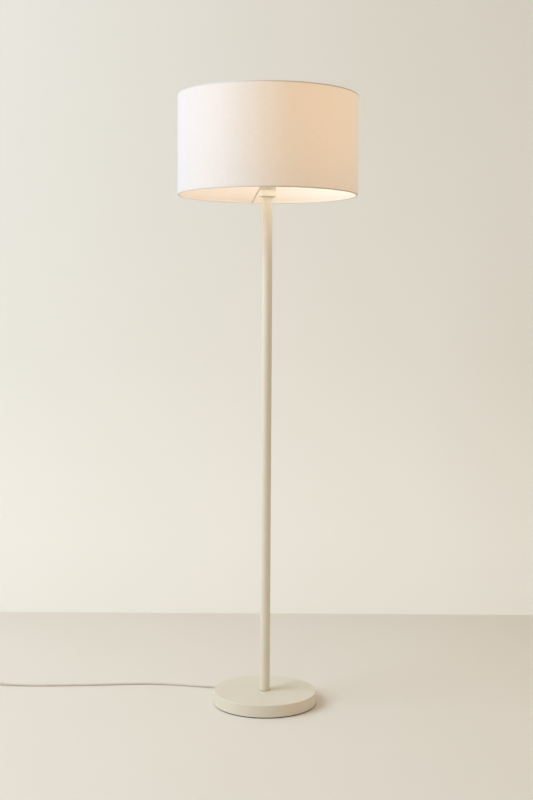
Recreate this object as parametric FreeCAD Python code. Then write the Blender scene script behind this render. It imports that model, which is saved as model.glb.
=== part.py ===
import FreeCAD, Part
import math
import os

# Column floor lamp with a drum shade. Millimetres, +Z up. The origin is on the floor,
# under the axis of the pole. The front of the lamp faces -Y.

# ---- driving dimensions -------------------------------------------------------------

# Base: a pressed steel cover over a cast ballast disc, on a dark foam pad
BASE_DIAMETER = 260.0
BASE_HEIGHT = 32.5          # floor to the top of the cover
COVER_WALL = 1.5
COVER_EDGE_RADIUS = 2.0
COVER_RIM_GAP = 2.5         # floor to the cover's lower edge
PAD_THICKNESS = 3.0
PAD_INSET = 4.5             # pad's edge inside the cover's side
BALLAST_SIDE_GAP = 2.5
BALLAST_CHAMFER = 2.5
BALLAST_WEB = 4.0           # ballast left above the pocket of the nut
POCKET_DIAMETER = 50.0
CABLE_CHANNEL_WIDTH = 8.0
CABLE_CHANNEL_ROOM = 0.8    # channel above the cable

# Pole: four steel tubes with pressed-in inserts, joined by hollow screws
POLE_DIAMETER = 25.0
POLE_WALL = 1.2
POLE_FIRST_LENGTH = 323.5
POLE_LENGTH = 308.0         # each of the three upper tubes
POLE_UPPER_TUBES = 3
POLE_SEAM_CHAMFER = 0.5
FOOT_RING_THICKNESS = 0.5
FOOT_RING_DIAMETER = 26.0
INSERT_LENGTH = 14.0
INSERT_PLATE = 5.0
INSERT_HUB_DIAMETER = 16.0

# Hollow screws and their nut, M10 x 1
SCREW_DIAMETER = 10.0
SCREW_BORE = 7.6
SCREW_SHORT_OF_END = 1.0    # screw ends inside the thread that it fills
NUT_ACROSS_FLATS = 17.0
NUT_HEIGHT = 5.0
LOCK_WASHER_DIAMETER = 18.0
LOCK_WASHER_THICKNESS = 1.0
WASHER_DIAMETER = 36.0
WASHER_THICKNESS = 1.5

# Lamp holder, E27, in a turned cup
CUP_DIAMETER = 41.0
CUP_HEIGHT = 46.0
CUP_WALL = 1.0
CUP_FLOOR = 2.0
CUP_OVER_POLE = 3.5         # length of pole top that the cup's socket takes
CUP_EDGE_RADIUS = 2.0
HOLDER_CAP_DIAMETER = 35.0
HOLDER_CAP_HEIGHT = 20.5
HOLDER_CAP_WALL = 2.0
HOLDER_BOSS_HEIGHT = 10.0
HOLDER_BOSS_DIAMETER = 16.0
INSULATOR_THICKNESS = 6.0
SKIRT_DIAMETER = 37.0
SKIRT_THREAD_DIAMETER = 39.6
SKIRT_FLANGE_DIAMETER = 46.0
SKIRT_FLANGE_THICKNESS = 2.5
SKIRT_THREAD_LENGTH = 21.5
SKIRT_BORE = 30.4
LAMP_THREAD_BORE = 26.8     # inside of the screw shell
SHELL_WALL = 0.6
SHELL_HEIGHT = 28.0
SHELL_FOOT_BORE = 20.0
CONTACT_HEIGHT = 3.0
CONTACT_WIDTH = 5.0
TERMINAL_SPACING = 18.0
TERMINAL_WIDTH = 6.0
TERMINAL_HEIGHT = 7.5
TERMINAL_SCREW_DIAMETER = 3.0
TERMINAL_HEAD_DIAMETER = 4.6
TERMINAL_HEAD_THICKNESS = 1.6

# Shade: a laminated drum on two wire rings, carried by a three-armed spider
SHADE_DIAMETER = 446.0
SHADE_HEIGHT = 242.0
FABRIC_THICKNESS = 0.6
LINER_THICKNESS = 0.5
HEM_HEIGHT = 8.0
RING_WIRE_DIAMETER = 3.2
SPIDER_WIRE_DIAMETER = 3.4
SPIDER_ARMS = 3
SPIDER_TURN = 10.8          # first arm, degrees to the left of straight back
FITTER_THICKNESS = 1.5
FITTER_COLLAR_DIAMETER = 54.0
FITTER_COLLAR_WALL = 1.4
FITTER_COLLAR_HEIGHT = 5.0
SHADE_NUT_HEIGHT = 8.0
SHADE_NUT_FLANGE = 2.5
SHADE_NUT_HUB_DIAMETER = 45.0
SHADE_NUT_GRIPS = 12
SHADE_NUT_GRIP_DEPTH = 1.2

# Bulb, 60 mm pear shape with an E27 cap
BULB_DIAMETER = 60.0
BULB_LENGTH = 110.0
BULB_CAP_DIAMETER = 26.1
BULB_CAP_HEIGHT = 22.0
BULB_CAP_WALL = 0.6
BULB_TIP_DIAMETER = 9.5
BULB_TIP_HEIGHT = 1.5
BULB_INSULATOR_HEIGHT = 2.5
BULB_NECK_DIAMETER = 28.4
BULB_NECK_LENGTH = 8.0
BULB_WALL = 1.5
LED_BOARD_THICKNESS = 1.6
LED_BOARD_MARGIN = 1.2      # board's edge inside the housing's rim

# Mains cord and what is on it
CORD_DIAMETER = 6.0
CORE_DIAMETER = 2.0
CORD_EXIT_ANGLE = 138.0     # degrees from +X, anticlockwise from above
BOOT_LENGTH = 26.0
BOOT_ROOT_DIAMETER = 10.4
BOOT_TIP_DIAMETER = 8.0
BOOT_FLANGE_DIAMETER = 11.6
BOOT_FLANGE_THICKNESS = 1.8
BOOT_NECK_DIAMETER = 8.0

# Foot switch on the cord, along X
SWITCH_X = -772.0
SWITCH_Y = 130.0
SWITCH_LENGTH = 70.0
SWITCH_WIDTH = 32.0
SWITCH_BASE_HEIGHT = 9.0    # floor to the parting line, where the cord's axis lies
SWITCH_COVER_HEIGHT = 9.0
SWITCH_WALL = 1.8
SWITCH_COVER_RADIUS = 3.5
SWITCH_NECK_LENGTH = 6.0
SWITCH_NECK_DIAMETER = 10.5
BUTTON_DIAMETER = 22.0
BUTTON_RISE = 4.5           # button above the cover
BUTTON_FLANGE_DIAMETER = 25.0
BUTTON_FLANGE_THICKNESS = 1.6
BUTTON_STEM_DIAMETER = 6.0
BUTTON_TRAVEL = 2.5
BUTTON_DOME = 1.2
SPRING_DIAMETER = 10.0      # outside of the coils
SPRING_WIRE = 0.8
SPRING_TURNS = 4
BOSS_DIAMETER = 5.5
BOSS_SPACING_X = 44.0
BOSS_SPACING_Y = 19.0
SWITCH_SCREW_DIAMETER = 2.4
SWITCH_SCREW_HEAD = 4.4
SWITCH_SCREW_RECESS = 1.0
SWITCH_TERMINAL_X = 20.0
SWITCH_TERMINAL_SIZE = 5.0

# Coil of spare cord beside the switch
COIL_X = -866.0
COIL_OUTER_RADIUS = 43.0    # to the middle of the cord
COIL_TURNS_IN = 2.75        # on the floor, towards the middle
COIL_TURNS_OUT = 2.5        # on top, outwards again
COIL_PITCH = 6.5
COIL_LEVEL_STRETCH = 20.0   # where the cord leaves the top layer

# Two-pin plug, flat on the floor
PLUG_BODY_LENGTH = 34.0
PLUG_WIDTH = 26.6
PLUG_HEIGHT = 13.7
PLUG_BOOT_LENGTH = 20.0
PLUG_BOOT_TIP_DIAMETER = 8.0
PLUG_BOOT_ROOT_DIAMETER = 10.5
PIN_DIAMETER = 4.0
PIN_LENGTH = 19.0
PIN_SPACING = 18.6
PIN_SLEEVE_LENGTH = 10.0
PIN_SLEEVE_DIAMETER = 3.6
PIN_CORE_DIAMETER = 3.0
PIN_ROOT_LENGTH = 6.0

# Clearances
THREAD_CLEARANCE = 0.05
RUNNING_CLEARANCE = 0.08
LOOSE_CLEARANCE = 0.35
FLOOR_CLEARANCE = 0.1       # under the cord

# ---- levels that follow from them ---------------------------------------------------

cord_radius = CORD_DIAMETER / 2
cord_floor_z = cord_radius + FLOOR_CLEARANCE
cover_inner_top = BASE_HEIGHT - COVER_WALL
inner_cable_z = PAD_THICKNESS + FLOOR_CLEARANCE + cord_radius
pocket_top = cover_inner_top - BALLAST_WEB
nut_bottom = pocket_top - WASHER_THICKNESS - LOCK_WASHER_THICKNESS - NUT_HEIGHT
pole_bottom = BASE_HEIGHT + FOOT_RING_THICKNESS
pole_joints = [pole_bottom + POLE_FIRST_LENGTH + i * POLE_LENGTH for i in range(POLE_UPPER_TUBES)]
pole_top = pole_joints[-1] + POLE_LENGTH
cup_bottom = pole_top - CUP_OVER_POLE
cup_floor_top = pole_top + CUP_FLOOR
cup_top = cup_bottom + CUP_HEIGHT
holder_boss_top = cup_floor_top + HOLDER_BOSS_HEIGHT
insulator_bottom = cup_floor_top + HOLDER_CAP_HEIGHT
insulator_top = insulator_bottom + INSULATOR_THICKNESS
flange_top = cup_top + SKIRT_FLANGE_THICKNESS
skirt_top = flange_top + SKIRT_THREAD_LENGTH
fitter_top = flange_top + FITTER_THICKNESS
shade_bottom = pole_top - 0.5
shade_top = shade_bottom + SHADE_HEIGHT
bulb_bottom = insulator_top + CONTACT_HEIGHT

parts = {}


# ---- shared geometry ----------------------------------------------------------------

def vec(x, y, z):
    return FreeCAD.Vector(x, y, z)


def cylinder(diameter, z0, z1, x=0.0, y=0.0):
    return Part.makeCylinder(diameter / 2, z1 - z0, vec(x, y, z0))


def tube(outer, inner, z0, z1, x=0.0, y=0.0):
    return cylinder(outer, z0, z1, x, y).cut(cylinder(inner, z0 - 1, z1 + 1, x, y))


def box(x0, x1, y0, y1, z0, z1):
    return Part.makeBox(x1 - x0, y1 - y0, z1 - z0, vec(x0, y0, z0))


def turned(profile):
    """Solid of revolution about Z. Each entry is (radius, z) or (radius, z, bulge), where the
    bulge is the height of an arc over the straight line from the point before."""
    points = [vec(p[0], 0, p[1]) for p in profile]
    edges = []
    for i, start in enumerate(points):
        j = (i + 1) % len(points)
        end = points[j]
        bulge = profile[j][2] if len(profile[j]) > 2 else 0
        if bulge:
            along = (end - start).normalize()
            middle = (start + end) * 0.5 + vec(along.z, 0, -along.x) * bulge
            edges.append(Part.Arc(start, middle, end).toShape())
        else:
            edges.append(Part.LineSegment(start, end).toShape())
    face = Part.Face(Part.Wire(edges))
    return face.revolve(vec(0, 0, 0), vec(0, 0, 1), 360)


def rod(start, end, diameter):
    return Part.makeCylinder(diameter / 2, (end - start).Length, start, end - start)


def group(solids):
    return Part.makeCompound(solids) if len(solids) > 1 else solids[0]


def about_z(shape, degrees):
    turned_shape = shape.copy()
    turned_shape.rotate(vec(0, 0, 0), vec(0, 0, 1), degrees)
    return turned_shape


def swept(wire, diameter, start, along):
    """Round bar along a wire that starts at a point in the given direction."""
    circle = Part.Wire(Part.makeCircle(diameter / 2, start, along))
    return wire.makePipeShell([circle], True, False)


def cord_along(points, diameter):
    """Cord through chosen points: straight runs joined by the largest tangent arcs that they
    allow. Gives the solid, its length and the arcs' radii."""
    edges, radii = [], []
    at = points[0]
    for before, corner, after in zip(points, points[1:], points[2:]):
        arriving, leaving = (corner - before), (after - corner)
        shorter = min(arriving.Length, leaving.Length)
        arriving.normalize()
        leaving.normalize()
        turn = arriving.getAngle(leaving)
        cut_back = 0.45 * shorter
        radii.append(cut_back / math.tan(turn / 2))
        first, last = corner - arriving * cut_back, corner + leaving * cut_back
        inward = (leaving - arriving).normalize()
        middle = corner + inward * (radii[-1] / math.cos(turn / 2) - radii[-1])
        edges.append(Part.LineSegment(at, first).toShape())
        edges.append(Part.Arc(first, middle, last).toShape())
        at = last
    edges.append(Part.LineSegment(at, points[-1]).toShape())
    wire = Part.Wire(edges)
    return swept(wire, diameter, points[0], points[1] - points[0]), wire.Length, radii


def arc_leaving(p, along, q, backwards=False):
    """Arc from p, where it runs in the given direction, to q. A straight one is a line."""
    chord = q - p
    across = chord - along * chord.dot(along)
    ends = (q, p) if backwards else (p, q)
    if across.Length < 1e-4 * chord.Length:
        return Part.LineSegment(*ends).toShape()
    across.normalize()
    radius = chord.dot(chord) / (2 * chord.dot(across))
    centre = p + across * radius
    outward = ((p + q) * 0.5 - centre).normalize()
    return Part.Arc(ends[0], centre + outward * radius, ends[1]).toShape()


def biarc(p, p_along, q, q_along):
    """Two arcs that meet smoothly between two points with given directions."""
    chord = q - p
    bend = 2 * (1 - p_along.dot(q_along))
    reach = chord.dot(p_along + q_along)
    size = (math.sqrt(reach ** 2 + bend * chord.dot(chord)) - reach) / bend if bend > 1e-9 else 0
    joint = (p + q + (p_along - q_along) * size) * 0.5
    return [arc_leaving(p, p_along, joint), arc_leaving(q, q_along * -1, joint, backwards=True)]


def stadium(length, width, z0, z1, x, y):
    """Oblong block with half-round ends, along X."""
    straight = (length - width) / 2
    block = box(x - straight, x + straight, y - width / 2, y + width / 2, z0, z1)
    for end in (x - straight, x + straight):
        block = block.fuse(cylinder(width, z0, z1, end, y))
    return block.removeSplitter()


# ---- base ---------------------------------------------------------------------------

exit_along = vec(math.cos(math.radians(CORD_EXIT_ANGLE)), math.sin(math.radians(CORD_EXIT_ANGLE)), 0)


def across_the_exit(width, start, end, z0, z1):
    """Block along the way the cord leaves the base, from one radius to another."""
    return about_z(box(start, end, -width / 2, width / 2, z0, z1), CORD_EXIT_ANGLE)


def exit_rod(diameter, start, end):
    return rod(exit_along * start + vec(0, 0, inner_cable_z),
               exit_along * end + vec(0, 0, inner_cable_z), diameter)


base_radius = BASE_DIAMETER / 2
inner_radius = base_radius - COVER_WALL
ballast_radius = inner_radius - BALLAST_SIDE_GAP
edge = COVER_EDGE_RADIUS
inner_edge = COVER_EDGE_RADIUS - COVER_WALL
arc_rise = 1 - math.cos(math.pi / 4)
screw_hole = SCREW_DIAMETER + 2 * THREAD_CLEARANCE

base_cover = turned([
    (screw_hole / 2, BASE_HEIGHT), (screw_hole / 2, cover_inner_top),
    (inner_radius - inner_edge, cover_inner_top),
    (inner_radius, cover_inner_top - inner_edge, -inner_edge * arc_rise),
    (inner_radius, COVER_RIM_GAP), (base_radius, COVER_RIM_GAP),
    (base_radius, BASE_HEIGHT - edge),
    (base_radius - edge, BASE_HEIGHT, edge * arc_rise)])
notch_width = BOOT_NECK_DIAMETER + 2 * THREAD_CLEARANCE
base_cover = base_cover.cut(exit_rod(notch_width, inner_radius - COVER_WALL, base_radius + 1))
base_cover = base_cover.cut(across_the_exit(
    notch_width, inner_radius - COVER_WALL, base_radius + 1, 0, inner_cable_z))
parts["base_cover"] = base_cover

base_ballast = turned([
    (screw_hole / 2, cover_inner_top), (screw_hole / 2, pocket_top),
    (POCKET_DIAMETER / 2, pocket_top), (POCKET_DIAMETER / 2, PAD_THICKNESS),
    (ballast_radius, PAD_THICKNESS), (ballast_radius, cover_inner_top - BALLAST_CHAMFER),
    (ballast_radius - BALLAST_CHAMFER, cover_inner_top)])
channel_top = inner_cable_z + cord_radius + CABLE_CHANNEL_ROOM
parts["base_ballast"] = base_ballast.cut(across_the_exit(
    CABLE_CHANNEL_WIDTH, 0, base_radius, 0, channel_top))

parts["base_pad"] = cylinder(BASE_DIAMETER - 2 * PAD_INSET, 0, PAD_THICKNESS)

washer_bottom = pocket_top - WASHER_THICKNESS
nut_top = washer_bottom - LOCK_WASHER_THICKNESS
parts["base_washer"] = tube(WASHER_DIAMETER, screw_hole, washer_bottom, pocket_top)
parts["lock_washer"] = tube(LOCK_WASHER_DIAMETER, screw_hole, nut_top, washer_bottom)
nut_corner = NUT_ACROSS_FLATS / math.cos(math.pi / 6) / 2
hexagon = Part.makePolygon([
    vec(nut_corner * math.cos(math.radians(60 * i)), nut_corner * math.sin(math.radians(60 * i)), nut_bottom)
    for i in range(7)])
parts["base_nut"] = Part.Face(hexagon).extrude(vec(0, 0, NUT_HEIGHT)).cut(
    cylinder(screw_hole, nut_bottom - 1, nut_top + 1))


def hollow_screw(z0, z1):
    return tube(SCREW_DIAMETER, SCREW_BORE, z0, z1)


screw_start = nut_bottom - SCREW_SHORT_OF_END / 2
parts["base_screw"] = hollow_screw(screw_start, pole_bottom + INSERT_LENGTH - SCREW_SHORT_OF_END)

# Moulded boot where the cord leaves the cover: a flange on each side of the wall, then a taper
flange_inside = inner_radius - 0.2
boot_tip = base_radius + BOOT_LENGTH
boot = turned([
    (CORD_DIAMETER / 2 + THREAD_CLEARANCE, 0), (BOOT_FLANGE_DIAMETER / 2, 0),
    (BOOT_FLANGE_DIAMETER / 2, BOOT_FLANGE_THICKNESS), (BOOT_NECK_DIAMETER / 2, BOOT_FLANGE_THICKNESS),
    (BOOT_NECK_DIAMETER / 2, base_radius - flange_inside + BOOT_FLANGE_THICKNESS),
    (BOOT_ROOT_DIAMETER / 2, base_radius - flange_inside + BOOT_FLANGE_THICKNESS),
    (BOOT_TIP_DIAMETER / 2, boot_tip - flange_inside + BOOT_FLANGE_THICKNESS),
    (CORD_DIAMETER / 2 + THREAD_CLEARANCE, boot_tip - flange_inside + BOOT_FLANGE_THICKNESS)])
boot.rotate(vec(0, 0, 0), vec(0, 1, 0), 90)
boot.translate(vec(flange_inside - BOOT_FLANGE_THICKNESS, 0, inner_cable_z))
parts["cord_boot"] = about_z(boot, CORD_EXIT_ANGLE)

# ---- pole ---------------------------------------------------------------------------

parts["pole_foot_ring"] = tube(FOOT_RING_DIAMETER, screw_hole, BASE_HEIGHT, pole_bottom)

tube_ends = [pole_bottom] + pole_joints + [pole_top]
pole_radius = POLE_DIAMETER / 2
pole_bore = pole_radius - POLE_WALL
for number, (low, high) in enumerate(zip(tube_ends, tube_ends[1:]), 1):
    parts[f"pole_tube_{number}"] = turned([
        (pole_bore, low), (pole_radius - POLE_SEAM_CHAMFER, low),
        (pole_radius, low + POLE_SEAM_CHAMFER), (pole_radius, high - POLE_SEAM_CHAMFER),
        (pole_radius - POLE_SEAM_CHAMFER, high), (pole_bore, high)])


def insert(end, inwards):
    """Turned plug pressed into a tube's end: a plate flush with the end and a threaded hub."""
    plate, hub = end + inwards * INSERT_PLATE, end + inwards * INSERT_LENGTH
    return turned([
        (screw_hole / 2, end), (pole_bore - THREAD_CLEARANCE, end),
        (pole_bore - THREAD_CLEARANCE, plate), (INSERT_HUB_DIAMETER / 2, plate),
        (INSERT_HUB_DIAMETER / 2, hub), (screw_hole / 2, hub)])


parts["tube_inserts"] = group([
    insert(end, inwards)
    for low, high in zip(tube_ends, tube_ends[1:])
    for end, inwards in ((low, 1), (high, -1))])
screw_reach = INSERT_LENGTH - SCREW_SHORT_OF_END
parts["pole_joint_screws"] = group([
    hollow_screw(joint - screw_reach, joint + screw_reach) for joint in pole_joints])

# ---- lamp holder --------------------------------------------------------------------

cup_radius = CUP_DIAMETER / 2
parts["holder_cup"] = turned([
    (pole_radius + THREAD_CLEARANCE, cup_bottom), (cup_radius - CUP_EDGE_RADIUS, cup_bottom),
    (cup_radius, cup_bottom + CUP_EDGE_RADIUS, CUP_EDGE_RADIUS * arc_rise), (cup_radius, cup_top),
    (cup_radius - CUP_WALL, cup_top), (cup_radius - CUP_WALL, cup_floor_top),
    (screw_hole / 2, cup_floor_top), (screw_hole / 2, pole_top),
    (pole_radius + THREAD_CLEARANCE, pole_top)])
parts["holder_screw"] = hollow_screw(pole_top - screw_reach, holder_boss_top - SCREW_SHORT_OF_END)

cap_radius = HOLDER_CAP_DIAMETER / 2
cap_floor = cup_floor_top + HOLDER_CAP_WALL
parts["holder_cap"] = turned([
    (screw_hole / 2, cup_floor_top), (cap_radius - HOLDER_CAP_WALL, cup_floor_top),
    (cap_radius, cup_floor_top + HOLDER_CAP_WALL), (cap_radius, insulator_bottom),
    (cap_radius - HOLDER_CAP_WALL, insulator_bottom), (cap_radius - HOLDER_CAP_WALL, cap_floor),
    (HOLDER_BOSS_DIAMETER / 2, cap_floor), (HOLDER_BOSS_DIAMETER / 2, holder_boss_top),
    (screw_hole / 2, holder_boss_top)])

insulator_diameter = SKIRT_BORE - 2 * THREAD_CLEARANCE
parts["holder_insulator"] = cylinder(insulator_diameter, insulator_bottom, insulator_top)

shell_outer = LAMP_THREAD_BORE + 2 * SHELL_WALL
shell_top = insulator_top + SHELL_HEIGHT
parts["screw_shell"] = turned([
    (SHELL_FOOT_BORE / 2, insulator_top), (shell_outer / 2, insulator_top), (shell_outer / 2, shell_top),
    (LAMP_THREAD_BORE / 2, shell_top), (LAMP_THREAD_BORE / 2, insulator_top + SHELL_WALL),
    (SHELL_FOOT_BORE / 2, insulator_top + SHELL_WALL)])

skirt_mouth = LAMP_THREAD_BORE + 2 * SHELL_WALL + 2 * THREAD_CLEARANCE
parts["holder_skirt"] = turned([
    (SKIRT_BORE / 2, insulator_bottom), (SKIRT_DIAMETER / 2, insulator_bottom),
    (SKIRT_DIAMETER / 2, cup_top), (SKIRT_FLANGE_DIAMETER / 2, cup_top),
    (SKIRT_FLANGE_DIAMETER / 2, flange_top), (SKIRT_THREAD_DIAMETER / 2, flange_top),
    (SKIRT_THREAD_DIAMETER / 2, skirt_top), (SKIRT_BORE / 2, skirt_top)])

# Centre contact: a sprung brass strip bent up from its foot
foot, strip = CONTACT_WIDTH, SHELL_WALL
parts["centre_contact"] = box(-foot, foot, -foot / 2, foot / 2, insulator_top, insulator_top + strip).fuse([
    box(foot - strip, foot, -foot / 2, foot / 2, insulator_top, bulb_bottom),
    box(-foot / 2, foot, -foot / 2, foot / 2, bulb_bottom - strip, bulb_bottom)]).removeSplitter()

terminal_bottom = insulator_bottom - TERMINAL_HEIGHT
terminals, terminal_screws = [], []
for side in (-1, 1):
    middle = side * TERMINAL_SPACING / 2
    outer_face = middle + side * TERMINAL_WIDTH / 2
    screw_z = insulator_bottom - TERMINAL_HEIGHT / 3
    block = box(middle - TERMINAL_WIDTH / 2, middle + TERMINAL_WIDTH / 2,
                -TERMINAL_WIDTH / 2, TERMINAL_WIDTH / 2, terminal_bottom, insulator_bottom)
    shank = rod(vec(middle, 0, screw_z), vec(outer_face, 0, screw_z), TERMINAL_SCREW_DIAMETER)
    head = rod(vec(outer_face, 0, screw_z), vec(outer_face + side * TERMINAL_HEAD_THICKNESS, 0, screw_z),
               TERMINAL_HEAD_DIAMETER)
    terminals.append(block.cut(shank))
    terminal_screws.append(shank.fuse(head))
parts["holder_terminals"] = group(terminals)
parts["terminal_screws"] = group(terminal_screws)

# ---- cable inside the lamp ----------------------------------------------------------

cable_end = holder_boss_top + 1.0
bend = screw_start - inner_cable_z
bend_start = exit_along * bend + vec(0, 0, inner_cable_z)
bend_middle = exit_along * bend * arc_rise + vec(0, 0, inner_cable_z + bend * arc_rise)
cable_wire = Part.Wire([
    Part.LineSegment(exit_along * boot_tip + vec(0, 0, inner_cable_z), bend_start).toShape(),
    Part.Arc(bend_start, bend_middle, vec(0, 0, screw_start)).toShape(),
    Part.LineSegment(vec(0, 0, screw_start), vec(0, 0, cable_end)).toShape()])
parts["inner_cable"] = swept(cable_wire, CORD_DIAMETER, exit_along * boot_tip + vec(0, 0, inner_cable_z),
                             exit_along * -1)
core_end = (TERMINAL_SPACING - TERMINAL_WIDTH) / 2
core_z = terminal_bottom + TERMINAL_HEIGHT / 3
core_start = CORE_DIAMETER / 2 + THREAD_CLEARANCE
for core, side in (("neutral_core", -1), ("live_core", 1)):
    parts[core] = cord_along([
        vec(side * core_start, 0, cable_end), vec(side * core_start, 0, core_z),
        vec(side * core_end, 0, core_z)], CORE_DIAMETER)[0]

# ---- shade --------------------------------------------------------------------------

shade_radius = SHADE_DIAMETER / 2
lining_outer = shade_radius - FABRIC_THICKNESS
lining_inner = lining_outer - LINER_THICKNESS
wire_radius = lining_inner - RING_WIRE_DIAMETER / 2 - THREAD_CLEARANCE
lip_outer = wire_radius - RING_WIRE_DIAMETER / 2 - THREAD_CLEARANCE
lip_inner = lip_outer - FABRIC_THICKNESS
wire_inset = FABRIC_THICKNESS + RING_WIRE_DIAMETER / 2 + THREAD_CLEARANCE
bottom_wire_z = shade_bottom + wire_inset
top_wire_z = shade_top - wire_inset
fitter_collar_radius = FITTER_COLLAR_DIAMETER / 2
arm_end_z = flange_top + FITTER_COLLAR_HEIGHT / 2


def arm(number, thickness):
    """Straight wire from the bottom ring up to the fitter's collar."""
    turn = math.radians(90 + SPIDER_TURN + number * 360 / SPIDER_ARMS)
    out = vec(math.cos(turn), math.sin(turn), 0)
    start = out * wire_radius + vec(0, 0, bottom_wire_z)
    end = out * (fitter_collar_radius - FITTER_COLLAR_WALL / 2) + vec(0, 0, arm_end_z)
    return rod(start, end, thickness)


slits = [arm(i, SPIDER_WIRE_DIAMETER + 2 * LOOSE_CLEARANCE) for i in range(SPIDER_ARMS)]
parts["shade_fabric"] = turned([
    (shade_radius, shade_bottom), (shade_radius, shade_top),
    (lip_inner, shade_top), (lip_inner, shade_top - HEM_HEIGHT),
    (lip_outer, shade_top - HEM_HEIGHT), (lip_outer, shade_top - FABRIC_THICKNESS),
    (lining_outer, shade_top - FABRIC_THICKNESS), (lining_outer, shade_bottom + FABRIC_THICKNESS),
    (lip_outer, shade_bottom + FABRIC_THICKNESS), (lip_outer, shade_bottom + HEM_HEIGHT),
    (lip_inner, shade_bottom + HEM_HEIGHT), (lip_inner, shade_bottom)]).cut(slits)
parts["shade_liner"] = tube(2 * lining_outer, 2 * lining_inner,
                            shade_bottom + FABRIC_THICKNESS, shade_top - FABRIC_THICKNESS).cut(slits)
bottom_wire = Part.makeTorus(wire_radius, RING_WIRE_DIAMETER / 2, vec(0, 0, bottom_wire_z))
parts["shade_bottom_ring"] = bottom_wire
parts["shade_top_ring"] = Part.makeTorus(wire_radius, RING_WIRE_DIAMETER / 2, vec(0, 0, top_wire_z))

fitter_bore = SKIRT_THREAD_DIAMETER + 2 * LOOSE_CLEARANCE
collar_inner = fitter_collar_radius - FITTER_COLLAR_WALL
fitter = turned([
    (fitter_bore / 2, flange_top), (fitter_collar_radius, flange_top),
    (fitter_collar_radius, flange_top + FITTER_COLLAR_HEIGHT),
    (collar_inner, flange_top + FITTER_COLLAR_HEIGHT), (collar_inner, fitter_top), (fitter_bore / 2, fitter_top)])
parts["spider_fitter"] = fitter
fitter_core = cylinder(FITTER_COLLAR_DIAMETER, flange_top - 5, flange_top + FITTER_COLLAR_HEIGHT + 5)
parts["spider_arms"] = group([
    arm(i, SPIDER_WIRE_DIAMETER).cut(bottom_wire).cut(fitter_core) for i in range(SPIDER_ARMS)])

nut_radius = collar_inner - LOOSE_CLEARANCE
nut_bore = SKIRT_THREAD_DIAMETER / 2 + RUNNING_CLEARANCE
shade_nut = turned([
    (nut_bore, fitter_top), (nut_radius, fitter_top), (nut_radius, fitter_top + SHADE_NUT_FLANGE),
    (SHADE_NUT_HUB_DIAMETER / 2, fitter_top + SHADE_NUT_FLANGE),
    (SHADE_NUT_HUB_DIAMETER / 2, fitter_top + SHADE_NUT_HEIGHT), (nut_bore, fitter_top + SHADE_NUT_HEIGHT)])
grips = [about_z(cylinder(2 * SHADE_NUT_GRIP_DEPTH, fitter_top + SHADE_NUT_FLANGE,
                          fitter_top + SHADE_NUT_HEIGHT + 1, SHADE_NUT_HUB_DIAMETER / 2), 360 / SHADE_NUT_GRIPS * i)
         for i in range(SHADE_NUT_GRIPS)]
parts["shade_nut"] = shade_nut.cut(grips)

# ---- bulb ---------------------------------------------------------------------------

cap_bottom = bulb_bottom + BULB_TIP_HEIGHT + BULB_INSULATOR_HEIGHT
cap_top = cap_bottom + BULB_CAP_HEIGHT
bulb_radius = BULB_DIAMETER / 2
globe_centre = bulb_bottom + BULB_LENGTH - bulb_radius
board_bottom = globe_centre - bulb_radius / 4
board_top = board_bottom + LED_BOARD_THICKNESS
rim_radius = math.sqrt(bulb_radius ** 2 - (globe_centre - board_top) ** 2)
cap_outer = BULB_CAP_DIAMETER / 2
neck_top = cap_top + BULB_NECK_LENGTH
parts["bulb_tip"] = turned([
    (0, bulb_bottom), (BULB_TIP_DIAMETER / 2 - BULB_TIP_HEIGHT / 2, bulb_bottom),
    (BULB_TIP_DIAMETER / 2, bulb_bottom + BULB_TIP_HEIGHT), (0, bulb_bottom + BULB_TIP_HEIGHT)])
parts["bulb_insulator"] = turned([
    (0, bulb_bottom + BULB_TIP_HEIGHT), (BULB_TIP_DIAMETER / 2, bulb_bottom + BULB_TIP_HEIGHT),
    (cap_outer - BULB_CAP_WALL, cap_bottom), (0, cap_bottom)])
parts["bulb_cap"] = turned([
    (0, cap_bottom), (cap_outer, cap_bottom), (cap_outer, cap_top),
    (cap_outer - BULB_CAP_WALL, cap_top), (cap_outer - BULB_CAP_WALL, cap_bottom + BULB_CAP_WALL),
    (0, cap_bottom + BULB_CAP_WALL)])
parts["bulb_housing"] = turned([
    (BULB_NECK_DIAMETER / 2 - BULB_WALL, cap_top), (BULB_NECK_DIAMETER / 2, cap_top),
    (BULB_NECK_DIAMETER / 2, neck_top), (rim_radius, board_bottom, 2.5),
    (rim_radius, board_top), (rim_radius - LED_BOARD_MARGIN, board_top),
    (rim_radius - LED_BOARD_MARGIN, board_bottom), (rim_radius - BULB_WALL - LED_BOARD_MARGIN, board_bottom),
    (BULB_NECK_DIAMETER / 2 - BULB_WALL, neck_top, -2.5)])
parts["led_board"] = cylinder(2 * (rim_radius - LED_BOARD_MARGIN - THREAD_CLEARANCE), board_bottom, board_top)
globe_inner = bulb_radius - BULB_WALL
globe = Part.makeSphere(bulb_radius, vec(0, 0, globe_centre)).cut(
    Part.makeSphere(globe_inner, vec(0, 0, globe_centre)))
parts["bulb_globe"] = globe.cut(cylinder(2 * BULB_DIAMETER, globe_centre - BULB_DIAMETER, board_top))

# ---- free cord, foot switch, coil and plug ------------------------------------------

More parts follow.
